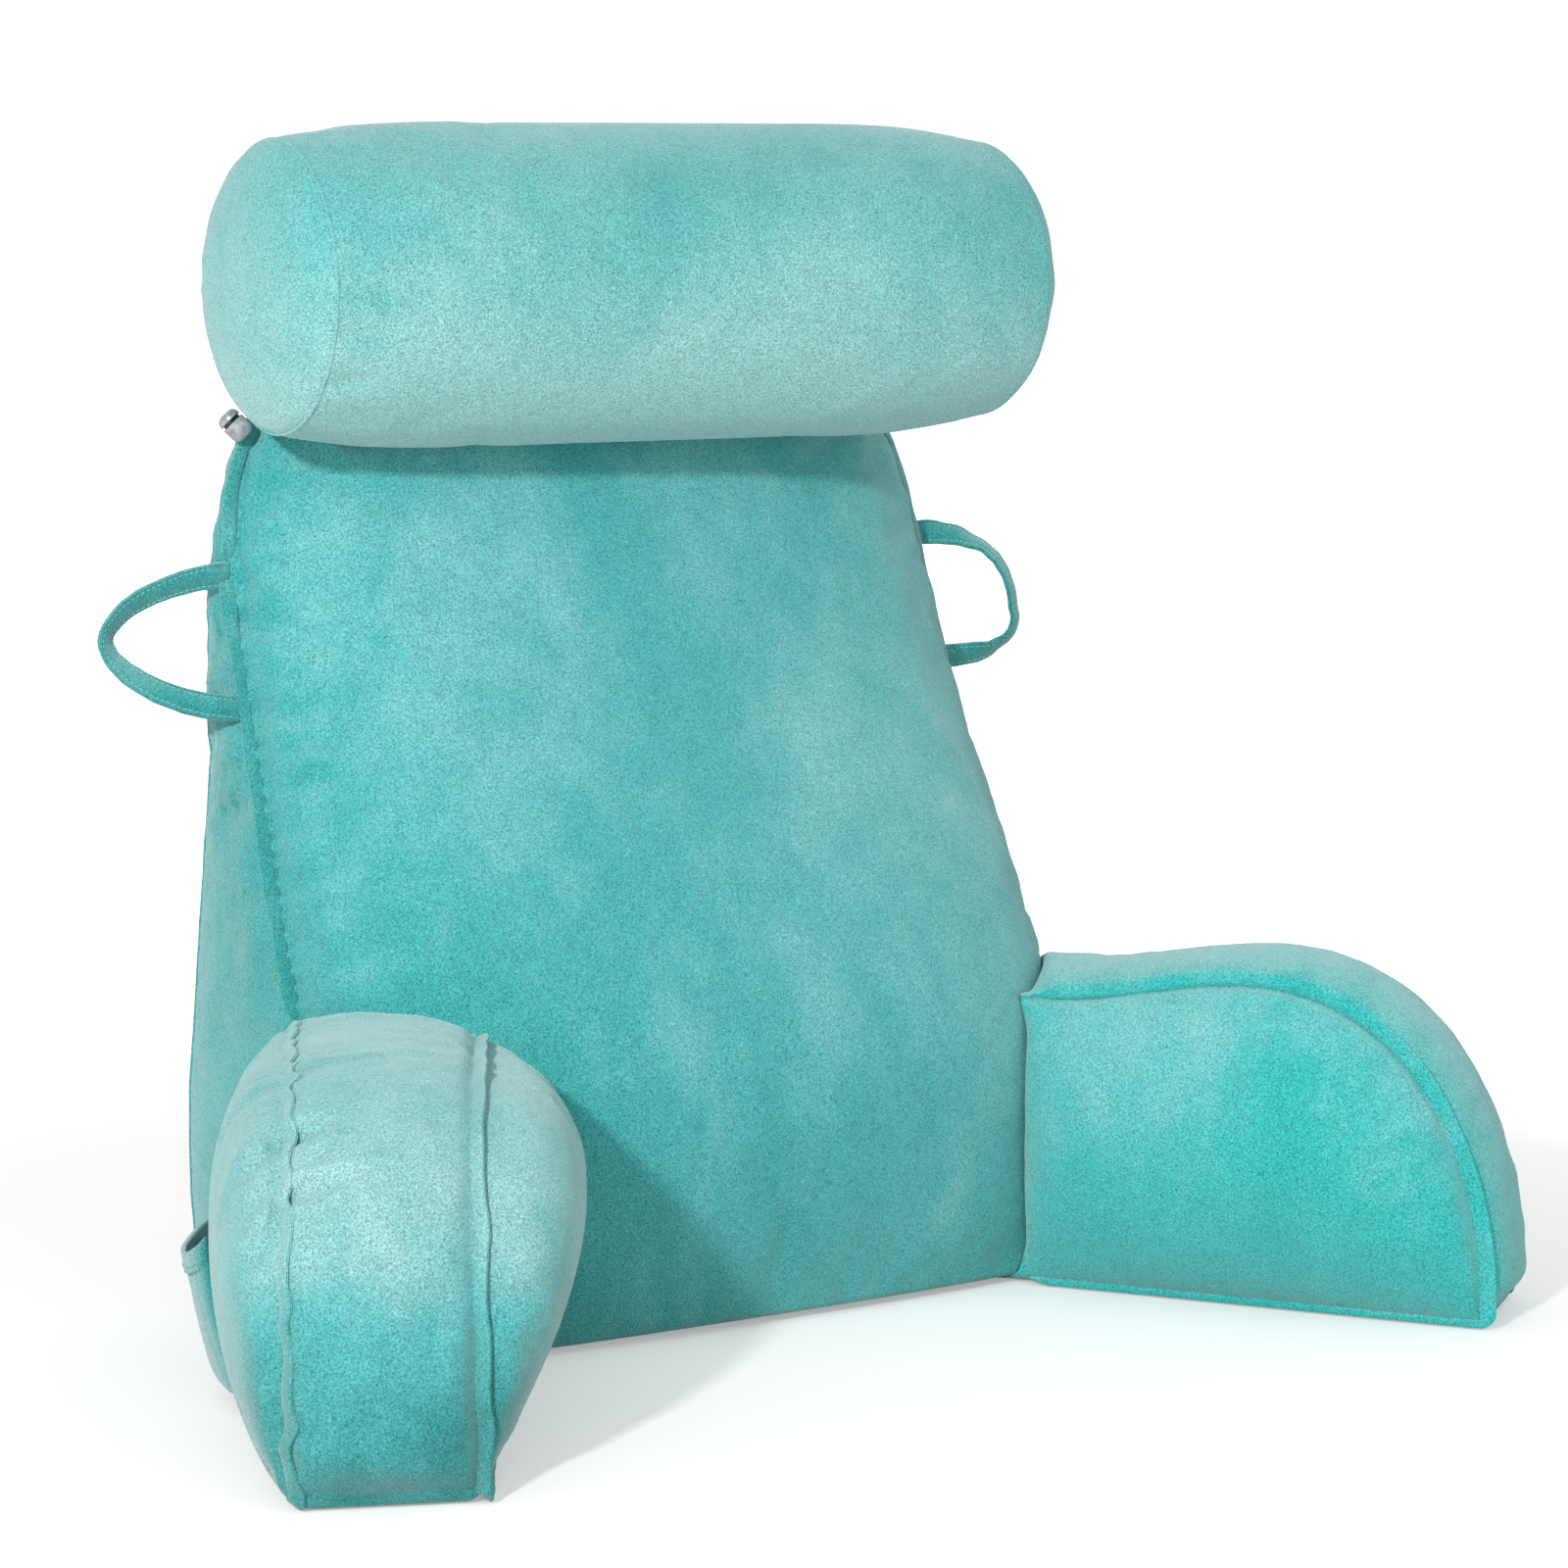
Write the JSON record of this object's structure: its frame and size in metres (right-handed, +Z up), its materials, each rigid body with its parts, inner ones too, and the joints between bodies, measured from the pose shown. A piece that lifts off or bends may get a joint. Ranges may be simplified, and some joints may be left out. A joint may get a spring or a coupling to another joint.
{
  "type": "reading pillow with arms",
  "caption": "Plush backrest pillow with a wedge-shaped back, splayed arms, a neck roll on top, side handles and a patch pocket at the side.",
  "frame": {"origin": "on the floor, in the middle of the back cushion's flat base", "axes": "+X to the sitter's left (the side without the pocket), -Y towards the sitter's legs, where the arms point, +Z up"},
  "size_m": [0.8577, 0.5077, 0.695],
  "materials": {
    "back_velvet": "short plush pile, mottled where the nap is pressed",
    "arm_velvet": "short plush pile, paler on top",
    "roll_velvet": "short plush pile, the palest piece",
    "strap_velvet": "folded strap of the same plush, topstitched",
    "pocket_velvet": "one layer of the same plush with a stitched hem",
    "clear_plastic": "clear grey, glossy"
  },
  "bodies": {
    "root": {"back_cushion": "back_velvet", "arm_left": "arm_velvet", "arm_right": "arm_velvet", "neck_roll": "roll_velvet", "handle_left": "strap_velvet", "handle_right": "strap_velvet", "pocket": "pocket_velvet", "stopper": "clear_plastic"}
  },
  "joints": []
}
